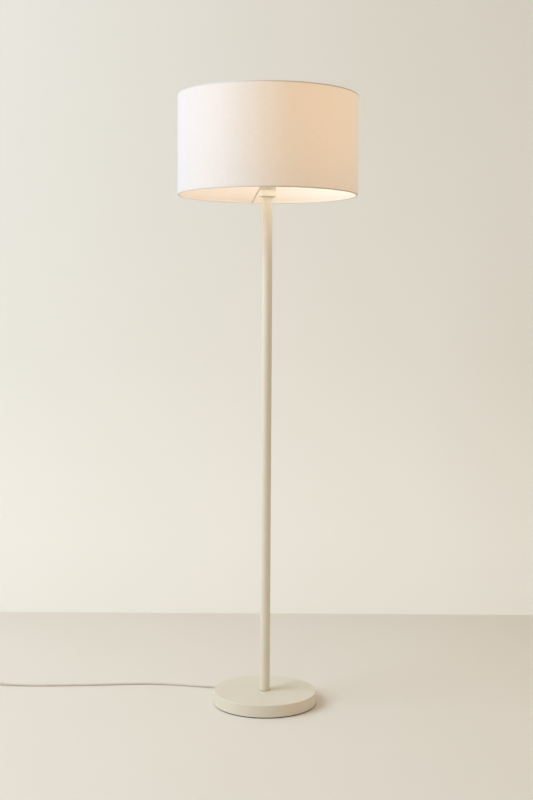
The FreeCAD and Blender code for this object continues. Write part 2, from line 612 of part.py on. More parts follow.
switch_reach = SWITCH_LENGTH / 2 + SWITCH_NECK_LENGTH
switch_in = SWITCH_X + switch_reach
switch_out = SWITCH_X - switch_reach
boot_end = exit_along * boot_tip + vec(0, 0, inner_cable_z)
past_boot = boot_end + exit_along * 17
lead_points = [
    boot_end, past_boot, vec(-156, 123.5, cord_floor_z + 0.6), vec(-200, 133.5, cord_floor_z),
    vec(-262, 145.5, cord_floor_z), vec(-336, 148, cord_floor_z), vec(-420, 138, cord_floor_z),
    vec(-505, 130.5, cord_floor_z), vec(-590, 126, cord_floor_z), vec(-652, 127, cord_floor_z),
    vec(-694, 129.2, 4.8), vec(switch_in + 18, SWITCH_Y, SWITCH_BASE_HEIGHT),
    vec(switch_in, SWITCH_Y, SWITCH_BASE_HEIGHT)]
lead, lead_length, lead_radii = cord_along(lead_points, CORD_DIAMETER)
parts["mains_lead"] = lead

# Switch housing, parted at the cord's axis
switch_top = SWITCH_BASE_HEIGHT + SWITCH_COVER_HEIGHT
hollow_length = SWITCH_LENGTH - 2 * SWITCH_WALL
hollow_width = SWITCH_WIDTH - 2 * SWITCH_WALL
necks = [rod(vec(SWITCH_X + side * (SWITCH_LENGTH / 2 - SWITCH_NECK_LENGTH), SWITCH_Y, SWITCH_BASE_HEIGHT),
             vec(SWITCH_X + side * switch_reach, SWITCH_Y, SWITCH_BASE_HEIGHT), SWITCH_NECK_DIAMETER)
         for side in (-1, 1)]
screw_places = [(SWITCH_X + BOSS_SPACING_X / 2 * side, SWITCH_Y + BOSS_SPACING_Y / 2 * side) for side in (-1, 1)]
hollow_floor = SWITCH_WALL
hollow_ceiling = switch_top - SWITCH_WALL
screw_top = switch_top - 2 * SWITCH_WALL


def half_housing(body, low, high, hollow_low, hollow_high):
    """One half of the switch housing: hollow block, cord necks and screw bosses."""
    half = body.cut(stadium(hollow_length, hollow_width, hollow_low, hollow_high, SWITCH_X, SWITCH_Y))
    bosses = [cylinder(BOSS_DIAMETER, max(low, hollow_floor), min(high, hollow_ceiling), x, y)
              for x, y in screw_places]
    slab = box(SWITCH_X - SWITCH_LENGTH, SWITCH_X + SWITCH_LENGTH,
               SWITCH_Y - SWITCH_WIDTH, SWITCH_Y + SWITCH_WIDTH, low, high)
    half = half.fuse(bosses + [neck.common(slab) for neck in necks]).removeSplitter()
    return half.cut([cylinder(SWITCH_SCREW_DIAMETER, -1, screw_top, x, y) for x, y in screw_places])


base_block = stadium(SWITCH_LENGTH, SWITCH_WIDTH, 0, SWITCH_BASE_HEIGHT, SWITCH_X, SWITCH_Y)
switch_base = half_housing(base_block, 0, SWITCH_BASE_HEIGHT, hollow_floor, SWITCH_BASE_HEIGHT + 1)
parts["switch_base"] = switch_base.cut([
    cylinder(SWITCH_SCREW_HEAD + 2 * THREAD_CLEARANCE, -1, SWITCH_SCREW_RECESS + 1, x, y) for x, y in screw_places])

cover_block = stadium(SWITCH_LENGTH, SWITCH_WIDTH, SWITCH_BASE_HEIGHT, switch_top, SWITCH_X, SWITCH_Y)
top_edges = [e for e in cover_block.Edges if all(abs(v.Point.z - switch_top) < 1e-6 for v in e.Vertexes)]
cover_block = cover_block.makeFillet(SWITCH_COVER_RADIUS, top_edges)
switch_cover = half_housing(cover_block, SWITCH_BASE_HEIGHT, switch_top, SWITCH_BASE_HEIGHT - 1, hollow_ceiling)
button_hole = BUTTON_DIAMETER + 2 * LOOSE_CLEARANCE
parts["switch_cover"] = switch_cover.cut(cylinder(button_hole, hollow_floor, switch_top + 1, SWITCH_X, SWITCH_Y))

# Button with a flange that the cover holds down and a stem that guides the spring
button_radius = BUTTON_DIAMETER / 2
button_top = switch_top + BUTTON_RISE
flange_bottom = hollow_ceiling - BUTTON_FLANGE_THICKNESS
stem_bottom = hollow_floor + BUTTON_TRAVEL + 3.0
button = turned([
    (0, stem_bottom), (BUTTON_STEM_DIAMETER / 2, stem_bottom), (BUTTON_STEM_DIAMETER / 2, flange_bottom),
    (BUTTON_FLANGE_DIAMETER / 2, flange_bottom), (BUTTON_FLANGE_DIAMETER / 2, hollow_ceiling),
    (button_radius, hollow_ceiling), (button_radius, button_top - BUTTON_DOME),
    (button_radius - BUTTON_DOME, button_top - BUTTON_DOME / 2), (0, button_top)])
button.translate(vec(SWITCH_X, SWITCH_Y, 0))
parts["foot_button"] = button

coil_radius = (SPRING_DIAMETER - SPRING_WIRE) / 2
spring_low = hollow_floor + SPRING_WIRE / 2 + FLOOR_CLEARANCE
spring_high = flange_bottom - SPRING_WIRE / 2 - FLOOR_CLEARANCE
spring_steps = 4 * SPRING_TURNS
spring_climb = math.atan2(spring_high - spring_low, 2 * math.pi * coil_radius * SPRING_TURNS)


def spring_at(step):
    turn = step * math.pi / 2
    point = vec(SWITCH_X + coil_radius * math.cos(turn), SWITCH_Y + coil_radius * math.sin(turn),
                spring_low + (spring_high - spring_low) * step / spring_steps)
    along = vec(-math.sin(turn) * math.cos(spring_climb), math.cos(turn) * math.cos(spring_climb),
                math.sin(spring_climb))
    return point, along


spring_edges = []
for step in range(spring_steps):
    spring_edges += biarc(*spring_at(step), *spring_at(step + 1))
parts["switch_spring"] = swept(Part.Wire(spring_edges), SPRING_WIRE, *spring_at(0))

terminal_high = SWITCH_BASE_HEIGHT - cord_radius - 0.5
half_terminal = SWITCH_TERMINAL_SIZE / 2
parts["switch_terminals"] = group([
    box(SWITCH_X + side * SWITCH_TERMINAL_X - half_terminal, SWITCH_X + side * SWITCH_TERMINAL_X + half_terminal,
        SWITCH_Y - half_terminal, SWITCH_Y + half_terminal, hollow_floor, terminal_high)
    for side in (-1, 1)])
parts["switch_screws"] = group([
    cylinder(SWITCH_SCREW_DIAMETER - 2 * THREAD_CLEARANCE, SWITCH_SCREW_RECESS, screw_top - 0.5, x, y).fuse(
        cylinder(SWITCH_SCREW_HEAD, SWITCH_SCREW_RECESS, SWITCH_SCREW_RECESS + 1, x, y))
    for x, y in screw_places])

# Coil: in towards the middle on the floor, up a layer, and out again on top
coil_y = SWITCH_Y - COIL_OUTER_RADIUS
reversal = COIL_TURNS_IN * 2 * math.pi
upper_z = cord_floor_z + COIL_PITCH


def coil_state(turn):
    """Radius, height and their rates of change at an angle from the start of the coil."""
    inward = turn < reversal
    from_reversal = abs(turn - reversal)
    inner_radius_here = COIL_OUTER_RADIUS - COIL_PITCH * reversal / (2 * math.pi)
    radius = inner_radius_here + COIL_PITCH * from_reversal / (2 * math.pi)
    radius_rate = (-1 if inward else 1) * COIL_PITCH / (2 * math.pi)
    share = min(max((turn - reversal) / math.pi + 0.5, 0), 1)
    height = cord_floor_z + COIL_PITCH * (1 - math.cos(math.pi * share)) / 2
    height_rate = COIL_PITCH / 2 * math.sin(math.pi * share)
    if abs(turn - reversal) < 1e-6:
        radius_rate = 0
    return radius, height, radius_rate, height_rate


def coil_at(turn):
    radius, height, radius_rate, height_rate = coil_state(turn)
    angle = math.pi / 2 + turn
    out, round_ = vec(math.cos(angle), math.sin(angle), 0), vec(-math.sin(angle), math.cos(angle), 0)
    point = vec(COIL_X, coil_y, 0) + out * radius + vec(0, 0, height)
    along = (round_ * radius + out * radius_rate + vec(0, 0, height_rate)).normalize()
    return point, along


quarter = math.pi / 2
coil_steps = round((COIL_TURNS_IN + COIL_TURNS_OUT) * 4)
coil_nodes = [coil_at(i * quarter) for i in range(coil_steps + 1)]
left = vec(-1, 0, 0)
forward = vec(0, -1, 0)
switch_end = vec(switch_out, SWITCH_Y, SWITCH_BASE_HEIGHT)
plug_axis_z = PLUG_HEIGHT / 2
last, last_along = coil_nodes[-1]
level_end = last + last_along * COIL_LEVEL_STRETCH
plug_tail = vec(level_end.x + 1.2, level_end.y - 32, plug_axis_z)
plug_entry = plug_tail + forward * CORD_DIAMETER
cord_nodes = [(switch_end + left * CORD_DIAMETER, left)] + coil_nodes
coil_edges = [Part.LineSegment(switch_end, switch_end + left * CORD_DIAMETER).toShape()]
for (p, p_along), (q, q_along) in zip(cord_nodes, cord_nodes[1:]):
    coil_edges += biarc(p, p_along, q, q_along)
coil_edges.append(Part.LineSegment(last, level_end).toShape())
coil_edges += biarc(level_end, last_along, plug_tail, forward)
coil_edges.append(Part.LineSegment(plug_tail, plug_entry).toShape())
coil_wire = Part.Wire(coil_edges)
parts["cord_coil"] = swept(coil_wire, CORD_DIAMETER, switch_end, left)

# Plug: a tapered boot, a flattened body and two pins with half-length sleeves. It points
# away from the lamp's foot, so a socket can be pushed straight on.
def at_plug(along, across, z):
    """A point from its distance in front of the cord's entry and from the plug's middle."""
    return vec(plug_entry.x + across, plug_entry.y - along, z)


def plug_outline(along, width, height):
    """Section with half-round sides."""
    r = height / 2
    side = width / 2 - r
    z0, z1 = plug_axis_z - r, plug_axis_z + r
    return Part.Wire([
        Part.LineSegment(at_plug(along, -side, z0), at_plug(along, side, z0)).toShape(),
        Part.Arc(at_plug(along, side, z0), at_plug(along, side + r, plug_axis_z),
                 at_plug(along, side, z1)).toShape(),
        Part.LineSegment(at_plug(along, side, z1), at_plug(along, -side, z1)).toShape(),
        Part.Arc(at_plug(along, -side, z1), at_plug(along, -side - r, plug_axis_z),
                 at_plug(along, -side, z0)).toShape()])


plug_face = PLUG_BOOT_LENGTH + PLUG_BODY_LENGTH
boot_cone = Part.makeCone(PLUG_BOOT_TIP_DIAMETER / 2, PLUG_BOOT_ROOT_DIAMETER / 2, PLUG_BOOT_LENGTH,
                          plug_entry, forward)
shoulder = PLUG_BOOT_LENGTH + PLUG_BODY_LENGTH * 0.35
plug_loft = Part.makeLoft([
    plug_outline(PLUG_BOOT_LENGTH, PLUG_WIDTH * 0.55, PLUG_HEIGHT * 0.86),
    plug_outline(shoulder, PLUG_WIDTH * 0.92, PLUG_HEIGHT),
    plug_outline(plug_face, PLUG_WIDTH, PLUG_HEIGHT)], True, True)
plug_body = boot_cone.fuse(plug_loft)
pins, sleeves = [], []
sleeve_end = plug_face + PIN_SLEEVE_LENGTH
pin_end = plug_face + PIN_LENGTH
for across in (-PIN_SPACING / 2, PIN_SPACING / 2):
    root, face_point = at_plug(plug_face - PIN_ROOT_LENGTH, across, plug_axis_z), at_plug(plug_face, across, plug_axis_z)
    neck, tip = at_plug(sleeve_end, across, plug_axis_z), at_plug(pin_end, across, plug_axis_z)
    core = rod(root, neck, PIN_CORE_DIAMETER)
    contact = rod(neck, tip, PIN_DIAMETER)
    tip_edge = [e for e in contact.Edges if len(e.Vertexes) == 1 and abs(e.Vertexes[0].Point.y - tip.y) < 1e-6]
    pins.append(core.fuse(contact.makeChamfer(PIN_DIAMETER / 5, tip_edge)).removeSplitter())
    sleeves.append(rod(face_point, neck, PIN_SLEEVE_DIAMETER).cut(rod(face_point, neck, PIN_CORE_DIAMETER)))
    plug_body = plug_body.cut(rod(root, face_point + forward, PIN_CORE_DIAMETER))
parts["plug_body"] = plug_body.removeSplitter()
parts["plug_pins"] = group(pins)
parts["pin_sleeves"] = group(sleeves)


# ---- measures and files -------------------------------------------------------------

def least_gap(wire, diameter, spacing, away):
    """Least distance from a wound cord's surface to itself, on points further apart than away."""
    points = wire.discretize(Distance=spacing)
    skip = round(away / spacing)
    centre_gap = min(
        (p - q).Length for i, p in enumerate(points) for q in points[i + skip:])
    return centre_gap - diameter


def report_tube(name, length, diameter):
    ratio = parts[name].Volume / (math.pi * diameter ** 2 / 4 * length)
    print(f"{name}: {length:.1f} mm long, volume over section times length {ratio:.4f}")


report_tube("mains_lead", lead_length, CORD_DIAMETER)
report_tube("cord_coil", coil_wire.Length, CORD_DIAMETER)
report_tube("inner_cable", cable_wire.Length, CORD_DIAMETER)
print("lead radii", [round(r) for r in lead_radii])
print("coil's least gap to itself", round(least_gap(coil_wire, CORD_DIAMETER, 3.0, 40.0), 3))
print("pins from y", round(plug_entry.y - sleeve_end, 3), "to", round(plug_entry.y - pin_end, 3),
      "about x", round(plug_entry.x, 3), "z", plug_axis_z)
print("exit to plug", round(lead_length + 2 * switch_reach + coil_wire.Length))

os.makedirs("parts", exist_ok=True)
for name, shape in parts.items():
    if not shape.isValid():
        print("not valid:", name)
    shape.exportStep(f"parts/{name}.step")
print(len(parts), "nodes")
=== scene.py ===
import math
import bmesh
import bpy
from mathutils import Matrix, Vector


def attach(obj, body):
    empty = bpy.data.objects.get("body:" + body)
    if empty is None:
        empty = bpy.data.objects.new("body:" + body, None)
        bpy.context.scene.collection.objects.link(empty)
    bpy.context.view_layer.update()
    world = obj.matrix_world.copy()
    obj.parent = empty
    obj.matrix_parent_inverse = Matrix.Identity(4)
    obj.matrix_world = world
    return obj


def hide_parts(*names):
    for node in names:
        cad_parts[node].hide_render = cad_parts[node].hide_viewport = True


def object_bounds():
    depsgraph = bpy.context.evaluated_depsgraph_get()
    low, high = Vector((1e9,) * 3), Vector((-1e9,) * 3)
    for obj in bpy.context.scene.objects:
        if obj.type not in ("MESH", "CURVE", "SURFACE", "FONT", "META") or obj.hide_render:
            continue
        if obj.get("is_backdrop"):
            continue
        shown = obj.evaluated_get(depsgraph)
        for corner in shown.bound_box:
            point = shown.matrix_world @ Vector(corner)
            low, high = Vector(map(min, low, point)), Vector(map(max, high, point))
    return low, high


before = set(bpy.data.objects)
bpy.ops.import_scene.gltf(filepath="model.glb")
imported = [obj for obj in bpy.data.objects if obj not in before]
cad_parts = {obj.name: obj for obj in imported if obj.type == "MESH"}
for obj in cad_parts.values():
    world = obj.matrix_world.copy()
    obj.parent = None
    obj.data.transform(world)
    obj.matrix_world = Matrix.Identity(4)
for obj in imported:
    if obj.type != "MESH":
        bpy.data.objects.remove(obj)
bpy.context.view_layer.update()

# ---- Foam pad ---------------------------------------------------------------------------
# A disc of dark closed-cell foam, 3 mm thick, glued under the ballast so that the base
# doesn't slide or scratch the floor. Its near-black edge reaches close under the cover's rim, so
# the thin dark line below the cover is partly its edge and partly painted shade in that gap.


def card(red, green, blue):
    """A colour as a colour card gives it, 0 to 255, made ready for a shader."""
    parts = [c / 255 for c in (red, green, blue)]
    return [c / 12.92 if c <= 0.04045 else ((c + 0.055) / 1.055) ** 2.4 for c in parts] + [1]


def new_finish(name):
    """An empty finish: gives it with its nodes and its shader."""
    finish = bpy.data.materials.new(name)
    finish.use_nodes = True
    nodes = finish.node_tree.nodes
    return finish, nodes, nodes["Principled BSDF"]


def feed(socket, value):
    """Gives a socket another node's output or a plain value."""
    if isinstance(value, bpy.types.NodeSocket):
        socket.id_data.links.new(value, socket)
    else:
        socket.default_value = value


def noise(nodes, place, scale, detail=2):
    """A cloudy value between 0 and 1, with so many clouds to the metre."""
    cloud = nodes.new("ShaderNodeTexNoise")
    feed(cloud.inputs["Scale"], scale)
    feed(cloud.inputs["Detail"], detail)
    feed(cloud.inputs["Vector"], place)
    return cloud.outputs["Fac"]


def graded(nodes, share, stops):
    """The colour at a share between 0 and 1 of the way through stops of (share, colour)."""
    ramp = nodes.new("ShaderNodeValToRGB")
    marks = ramp.color_ramp.elements
    for number, (at, colour) in enumerate(stops):
        mark = marks[number] if number < 2 else marks.new(at)
        mark.position, mark.color = at, colour
    feed(ramp.inputs["Fac"], share)
    return ramp.outputs["Color"]


def mapped(nodes, value, start, end, to_start=0, to_end=1):
    """Stretches the range from start to end onto the range from to_start to to_end."""
    stretch = nodes.new("ShaderNodeMapRange")
    for name, number in (("Value", value), ("From Min", start), ("From Max", end),
                         ("To Min", to_start), ("To Max", to_end)):
        feed(stretch.inputs[name], number)
    return stretch.outputs["Result"]


def dented(nodes, height, strength, depth):
    """A surface's direction once a height has dented it, with the depth in metres."""
    bump = nodes.new("ShaderNodeBump")
    feed(bump.inputs["Strength"], strength)
    feed(bump.inputs["Distance"], depth)
    feed(bump.inputs["Height"], height)
    return bump.outputs["Normal"]


def grained(name, tone, deeper, patch, rough, grain, relief, metallic=0.0):
    """A finish that drifts between two tones in patches, with a fine grain in its relief.
    The sizes of a patch and of a grain and the relief's depth are in metres."""
    finish, nodes, shader = new_finish(name)
    place = nodes.new("ShaderNodeTexCoord").outputs["Object"]
    drift = noise(nodes, place, 1 / patch, 3)
    speck = noise(nodes, place, 1 / grain)
    feed(shader.inputs["Base Color"], graded(nodes, drift, ((0.3, deeper), (0.7, tone))))
    feed(shader.inputs["Roughness"], mapped(nodes, speck, 0, 1, *rough))
    feed(shader.inputs["Normal"], dented(nodes, speck, 1, relief))
    feed(shader.inputs["Metallic"], metallic)
    return finish


def as_piece(name, bm, finish, body, stands_for=()):
    """Turns a shaped mesh into a piece of the lamp, smooth but for its real corners."""
    for edge in bm.edges:
        edge.smooth = len(edge.link_faces) != 2 or edge.calc_face_angle() < math.radians(40)
    for face in bm.faces:
        face.smooth = True
    mesh = bpy.data.meshes.new(name)
    bm.to_mesh(mesh)
    bm.free()
    mesh.materials.append(finish)
    piece = bpy.data.objects.new(name, mesh)
    bpy.context.scene.collection.objects.link(piece)
    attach(piece, body)
    if stands_for:
        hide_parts(*stands_for)
    return piece


def spun(outline, around, closed):
    """Spins an outline of (radius, height) about the pole's axis. A closed outline's last
    corner is joined to its first."""
    bm = bmesh.new()
    corners = [bm.verts.new((r, 0, z)) for r, z in outline]
    for start, end in zip(corners, corners[1:] + (corners[:1] if closed else [])):
        bm.edges.new((start, end))
    bmesh.ops.spin(bm, geom=bm.verts[:] + bm.edges[:], cent=(0, 0, 0), axis=(0, 0, 1),
                   angle=2 * math.pi, steps=around, use_merge=True)
    bmesh.ops.remove_doubles(bm, verts=bm.verts[:], dist=1e-7)
    return bm


def round_off(bm, rounds):
    """Rounds the rings of corners at each (radius, height, size of the rounding)."""
    for r, z, size in rounds:
        ring = [e for e in bm.edges if all(
            abs(v.co.xy.length - r) < 1e-6 and abs(v.co.z - z) < 1e-6 for v in e.verts)]
        bmesh.ops.bevel(bm, geom=ring, offset=size, segments=5, profile=0.5,
                        affect="EDGES", material=-1)


def turned(outline, around, rounds=(), place=None):
    """A solid turned from a cross-section, which stays open where it starts and ends on
    the axis."""
    bm = spun(outline, around, closed=outline[0][0] > 0 or outline[-1][0] > 0)
    bmesh.ops.recalc_face_normals(bm, faces=bm.faces[:])
    round_off(bm, rounds)
    if place is not None:
        bmesh.ops.transform(bm, matrix=place, verts=bm.verts[:])
    return bm


def level_faces(piece):
    """Keeps flat faces flat beside their rounded edges."""
    piece.modifiers.new("level faces", "WEIGHTED_NORMAL").keep_sharp = True
    return piece


# the pad reaches nearly to the cover's rim so that its near-black edge paints the shade in the gap
pad_radius, pad_thick = 0.128, 0.003
foam = grained("dark foam", card(24, 20, 18), card(15, 13, 12), 0.02, (0.85, 1.0), 0.0012, 0.0003)
pad = turned([(0, 0), (pad_radius, 0), (pad_radius, pad_thick), (0, pad_thick)], 96,
             rounds=[(pad_radius, pad_thick, 0.0004), (pad_radius, 0, 0.0004)])
level_faces(as_piece("foam_pad", pad, foam, "lamp", ["base_pad"]))

# ---- Ballast and its fastenings -----------------------------------------------------------
# A cast disc that holds the lamp upright, with a pocket for the nut. A hollow zinc-plated
# screw, a plain washer, a lock washer and a nut hold the pole to it, and hollow screws and
# turned inserts join the pole's tubes.


def dress(node, finish):
    """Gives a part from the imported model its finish."""
    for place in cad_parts[node].material_slots:
        place.material = finish


cast = grained("cast ballast", card(172, 168, 160), card(140, 137, 130), 0.012, (0.8, 0.95),
               0.002, 0.0004)
zinc = grained("zinc plate", card(205, 206, 204), card(186, 188, 188), 0.006, (0.25, 0.42),
               0.0006, 0.00002, 1.0)
dress("base_ballast", cast)
for node in ("base_washer", "lock_washer", "base_nut", "base_screw", "tube_inserts",
             "pole_joint_screws", "holder_screw", "terminal_screws", "switch_screws"):
    dress(node, zinc)

# ---- Base cover ---------------------------------------------------------------------------
# A pressed steel lid over the ballast, 1.5 mm thick, with a rounded upper edge and a notch
# for the cord, powder-coated cream with the fine orange-peel skin of such a coat.

base_radius = 0.130
base_top = 0.0325
cover_wall = 0.0015
cover_low = 0.0025
screw_hole = 0.00505        # radius of a hole that a hollow screw goes through
cable_height = 0.0061
exit_turn = math.radians(138)
notch_top = cable_height + 0.00405
cover_steps = 101           # one step is as wide as the notch
cream_coat = grained("cream powder coat", card(222, 215, 197), card(219, 212, 193), 0.09,
                     (0.46, 0.58), 0.0016, 0.00003)
inner = base_radius - cover_wall
under = base_top - cover_wall
cover = turned(
    [(screw_hole, base_top), (screw_hole, under), (inner, under), (inner, notch_top),
     (inner, cover_low), (base_radius, cover_low), (base_radius, notch_top),
     (base_radius, base_top)], cover_steps,
    rounds=[(base_radius, base_top, 0.002), (inner, under, 0.0005),
            (base_radius, cover_low, 0.0004), (inner, cover_low, 0.0004)],
    place=Matrix.Rotation(exit_turn - math.pi / cover_steps, 4, "Z"))
exit_way = Vector((math.cos(exit_turn), math.sin(exit_turn), 0))


def in_notch(point):
    """Whether a point of the cover lies in the notch that is cut for the cord."""
    return point.z < notch_top + 1e-6 and point.xy.normalized().dot(exit_way.xy) > math.cos(
        math.pi / cover_steps) - 1e-7


cut_out = [f for f in cover.faces if in_notch(f.calc_center_median())]
bmesh.ops.delete(cover, geom=cut_out, context="FACES")
open_edges = [e for e in cover.edges if len(e.link_faces) == 1]
ceiling = [e for e in open_edges if all(abs(v.co.z - notch_top) < 1e-6 for v in e.verts)]
for side in (-1, 1):
    across = Vector((-exit_way.y, exit_way.x, 0)) * side
    ends = [v for e in ceiling for v in e.verts if v.co.dot(across) > 0]
    lintel = cover.edges.new(ends)
    cheek = [e for e in open_edges if e not in ceiling and all(v.co.dot(across) > 0 for v in e.verts)]
    bmesh.ops.edgeloop_fill(cover, edges=cheek + [lintel])
    ceiling.append(lintel)
bmesh.ops.edgeloop_fill(cover, edges=ceiling)
bmesh.ops.recalc_face_normals(cover, faces=cover.faces[:])
level_faces(as_piece("base_lid", cover, cream_coat, "lamp", ["base_cover"]))

# ---- Cord boot ----------------------------------------------------------------------------
# A soft moulded strain relief that clips into the cover's notch with a flange inside and
# tapers over 26 mm towards the cord, with rings cut into it so that it can bend.

boot_bore = 0.00305
flange_radius, neck_radius = 0.0058, 0.004
flange_start, flange_end = 0.1265, 0.1283
root_radius, tip_radius = 0.0052, 0.004
boot_tip = 0.156
groove_start, groove_gap, groove_depth = 0.1335, 0.0035, 0.0007
sheath = grained("cord sheath", card(219, 212, 199), card(212, 205, 191), 0.03, (0.42, 0.55),
                 0.001, 0.00002)
boot_outline = [(boot_bore, flange_start), (flange_radius, flange_start), (flange_radius, flange_end),
                (neck_radius, flange_end), (neck_radius, base_radius), (root_radius, base_radius)]
for number in range(6):
    for step, depth in ((0, 0), (0.0002, groove_depth), (0.0013, groove_depth), (0.0015, 0)):
        along = groove_start + number * groove_gap + step
        taper = (root_radius - tip_radius) * (along - base_radius) / (boot_tip - base_radius)
        boot_outline.append((root_radius - taper - depth, along))
boot_outline += [(tip_radius, boot_tip), (boot_bore, boot_tip)]
along_exit = (Matrix.Translation((0, 0, cable_height)) @ Matrix.Rotation(exit_turn, 4, "Z")
              @ Matrix.Rotation(math.pi / 2, 4, "Y"))
boot = turned(boot_outline, 32, place=along_exit,
              rounds=[(root_radius, base_radius, 0.0003), (tip_radius, boot_tip, 0.0004)])
as_piece("strain_relief", boot, sheath, "lamp", ["cord_boot"])

# ---- Foot ring ----------------------------------------------------------------------------
# A washer of taupe plastic, half a millimetre thick, between the pole and the cover. Its
# edge stands half a millimetre proud of the pole and shows as a fine darker line, whose dark
# taupe also paints the shade where the pole meets the base.

ring_edge, ring_top = 0.013, 0.033
# painted shade: the washer's dark taupe stands in for the shade at the pole's foot as well as its own
# colour
taupe_and_foot_shade = grained("foot ring plastic", card(108, 96, 79), card(98, 87, 71), 0.01, (0.6, 0.75),
                0.0008, 0.00003)
foot_ring = turned([(screw_hole, base_top), (ring_edge, base_top), (ring_edge, ring_top),
                    (screw_hole, ring_top)], 64, rounds=[(ring_edge, ring_top, 0.00015)])
level_faces(as_piece("pole_washer", foot_ring, taupe_and_foot_shade, "lamp", ["pole_foot_ring"]))

# ---- Pole ---------------------------------------------------------------------------------
# Four steel tubes, 25 mm across and 1.2 mm thick, coated as the cover is. Their ends are
# broken by a small radius, and the fine grooves where two tubes meet are the pole's seams.

pole_radius = 0.0125
tube_bore = pole_radius - 0.0012
pole_top = 1.2805
tube_ends = [ring_top, 0.3565, 0.6645, 0.9725, pole_top]
for number, (low, high) in enumerate(zip(tube_ends, tube_ends[1:]), 1):
    section = turned([(tube_bore, low), (pole_radius, low), (pole_radius, high), (tube_bore, high)],
                     64, rounds=[(pole_radius, low, 0.0005), (pole_radius, high, 0.0005)])
    level_faces(as_piece(f"tube_{number}", section, cream_coat, "lamp",
                         [f"pole_tube_{number}"]))

# ---- Cable inside the pole ----------------------------------------------------------------
# The sheathed cable runs through the ballast's channel and up the hollow screws to the
# holder, where its blue and brown cores go to the two terminals.

dress("inner_cable", sheath)
dress("neutral_core", grained("blue core", card(40, 84, 168), card(34, 74, 152), 0.01,
                              (0.4, 0.5), 0.001, 0.00001))
dress("live_core", grained("brown core", card(112, 66, 38), card(98, 56, 32), 0.01,
                           (0.4, 0.5), 0.001, 0.00001))

# ---- Holder cup ---------------------------------------------------------------------------
# A turned steel cup that hides the holder's lower half. It sits over the top of the pole,
# has a small radius round its bottom edge and the same cream coat.

cup_radius, cup_bore = 0.0205, 0.0195
cup_low, cup_high = 1.277, 1.323
cup_floor = 1.2825
pole_hole = 0.01255
cup = turned([(pole_hole, cup_low), (cup_radius, cup_low), (cup_radius, cup_high), (cup_bore, cup_high),
              (cup_bore, cup_floor), (screw_hole, cup_floor), (screw_hole, pole_top),
              (pole_hole, pole_top)], 72,
             rounds=[(cup_radius, cup_low, 0.0018), (cup_radius, cup_high, 0.0003),
                     (pole_hole, cup_low, 0.0004)])
level_faces(as_piece("cup_of_holder", cup, cream_coat, "lamp", ["holder_cup"]))

# ---- Lamp holder --------------------------------------------------------------------------
# A white heat-resistant moulding in two halves with a steatite insulator, a brass screw
# shell, a sprung centre contact and two terminals. The upper half is threaded outside.

moulding = grained("white moulding", card(236, 232, 222), card(230, 226, 215), 0.02, (0.22, 0.34),
                   0.0012, 0.00001)
steatite = grained("steatite", card(228, 222, 208), card(218, 212, 197), 0.006, (0.6, 0.8),
                   0.0005, 0.00004)
brass = grained("brass", card(214, 180, 108), card(198, 162, 92), 0.008, (0.18, 0.34),
                0.0008, 0.00001, 1.0)
dress("holder_cap", moulding)
dress("holder_insulator", steatite)
for node in ("screw_shell", "centre_contact", "holder_terminals"):
    dress(node, brass)
skirt_bore, skirt_foot, skirt_core = 0.0152, 0.0185, 0.0191
skirt_flange, flange_top = 0.023, 1.3255
skirt_low, skirt_high = 1.303, 1.347
skirt = turned([(skirt_bore, skirt_low), (skirt_foot, skirt_low), (skirt_foot, cup_high),
                (skirt_flange, cup_high), (skirt_flange, flange_top), (skirt_core, flange_top),
                (skirt_core, skirt_high), (skirt_bore, skirt_high)], 72,
               rounds=[(skirt_flange, cup_high, 0.0005), (skirt_flange, flange_top, 0.0005),
                       (skirt_core, skirt_high, 0.0006)])
thread_low, thread_pitch, thread_turns, thread_steps = 1.3262, 0.0025, 7, 48
ridge = [skirt.verts.new((r, 0, thread_low + z)) for r, z in
         ((0.0189, 0), (0.0198, 0.0008), (0.0198, 0.0011), (0.0189, 0.0019))]
ridge_face = skirt.faces.new(ridge)
bmesh.ops.spin(skirt, geom=ridge + ridge_face.edges[:] + [ridge_face], cent=(0, 0, 0), axis=(0, 0, 1),
               dvec=(0, 0, thread_pitch / thread_steps), angle=2 * math.pi * thread_turns,
               steps=thread_turns * thread_steps)
bmesh.ops.recalc_face_normals(skirt, faces=skirt.faces[:])
as_piece("threaded_skirt", skirt, moulding, "lamp", ["holder_skirt"])

# ---- Shade --------------------------------------------------------------------------------
# A drum of fine white woven cloth on a clear-white film, rolled round a wire ring at the top
# and at the bottom. The cloth is cut as one strip and lapped at the back.

shade_radius = 0.223
shade_low, shade_high = 1.280, 1.522
cloth_thick = 0.0006
middle = shade_radius - cloth_thick / 2
hem_low, hem_high = shade_low + cloth_thick / 2, shade_high - cloth_thick / 2
lip, lip_height = 0.2183, 0.0077
lap_width = 0.012

# painted light that the cloth gives off itself, in place of the bulb's light through it: its
# colour from the left side to the right side, weakest on the left where the daylight falls,
# its share from the foot up, and the rims where the folded hem lets none through, which are
# painted shade
painted_glow_across = ((0, (0.045, 0.01, 0)), (0.1, (0.105, 0.068, 0.025)), (0.19, (0.165, 0.114, 0.05)),
               (0.25, (0.187, 0.128, 0.075)), (0.37, (0.205, 0.138, 0.06)), (0.5, (0.26, 0.147, 0.035)),
               (0.62, (0.303, 0.177, 0.045)), (0.75, (0.368, 0.227, 0.1)), (0.85, (0.378, 0.238, 0.115)),
               (0.94, (0.36, 0.235, 0.115)), (1, (0.33, 0.225, 0.115)))
painted_glow_up = ((0, 0.8), (0.1, 0.84), (0.3, 0.94), (0.5, 1.0), (0.75, 1.04), (1, 1.04))
rim_shade_lines = ((0, 0.8), (0.0085, 0.8), (0.012, 0), (0.985, 0), (0.9895, 0.8))


def maths(nodes, operation, *values):
    """The product, the sum or the like of sockets and numbers."""
    node = nodes.new("ShaderNodeMath")
    node.operation = operation
    for socket, value in zip(node.inputs, values):
        feed(socket, value)
    return node.outputs[0]


